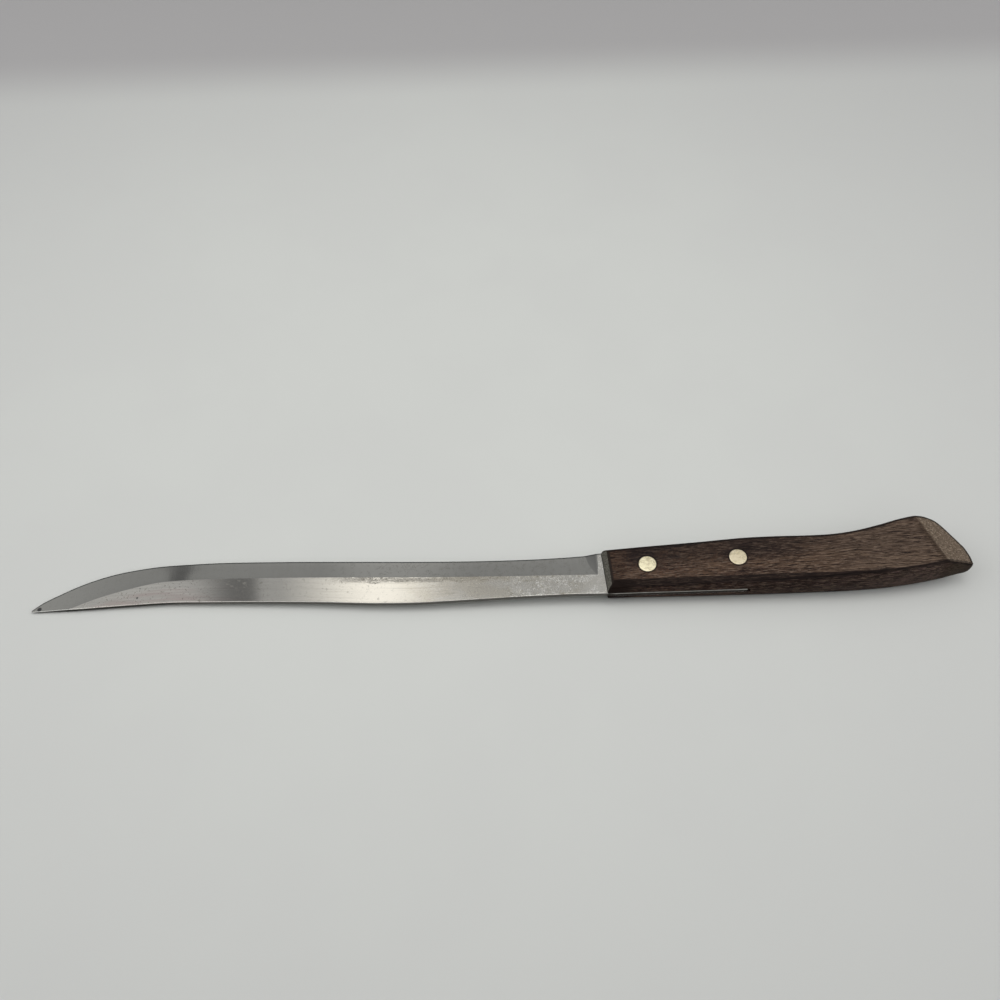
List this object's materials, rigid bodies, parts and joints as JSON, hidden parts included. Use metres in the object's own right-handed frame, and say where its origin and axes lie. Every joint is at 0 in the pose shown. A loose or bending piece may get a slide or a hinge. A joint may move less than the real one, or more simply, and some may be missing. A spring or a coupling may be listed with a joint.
{
  "type": "carving knife",
  "caption": "Slim carving knife: hollow ground, upswept steel blade with a short tang, riveted into the sawn slot of a one-piece wooden handle that hooks at the butt.",
  "frame": {"origin": "middle of the knife's length and width, at the level of the handle's lowest face when the blade is held level", "axes": "+X along the knife from tip to butt, +Y towards the cutting edge, +Z square to the flats of the blade"},
  "size_m": [0.3432, 0.025, 0.0148],
  "materials": {
    "blade_steel": "polished flats with fine lengthwise scratches, greyer matt hollow grind",
    "handle_wood": "dark brown close grained wood, satin and worn",
    "rivet_metal": "pale nickel brass ground flush, lightly scratched"
  },
  "bodies": {
    "root": {"blade": "blade_steel", "handle": "handle_wood", "front_rivet_male": "rivet_metal", "front_rivet_female": "rivet_metal", "rear_rivet_male": "rivet_metal", "rear_rivet_female": "rivet_metal"}
  },
  "joints": []
}
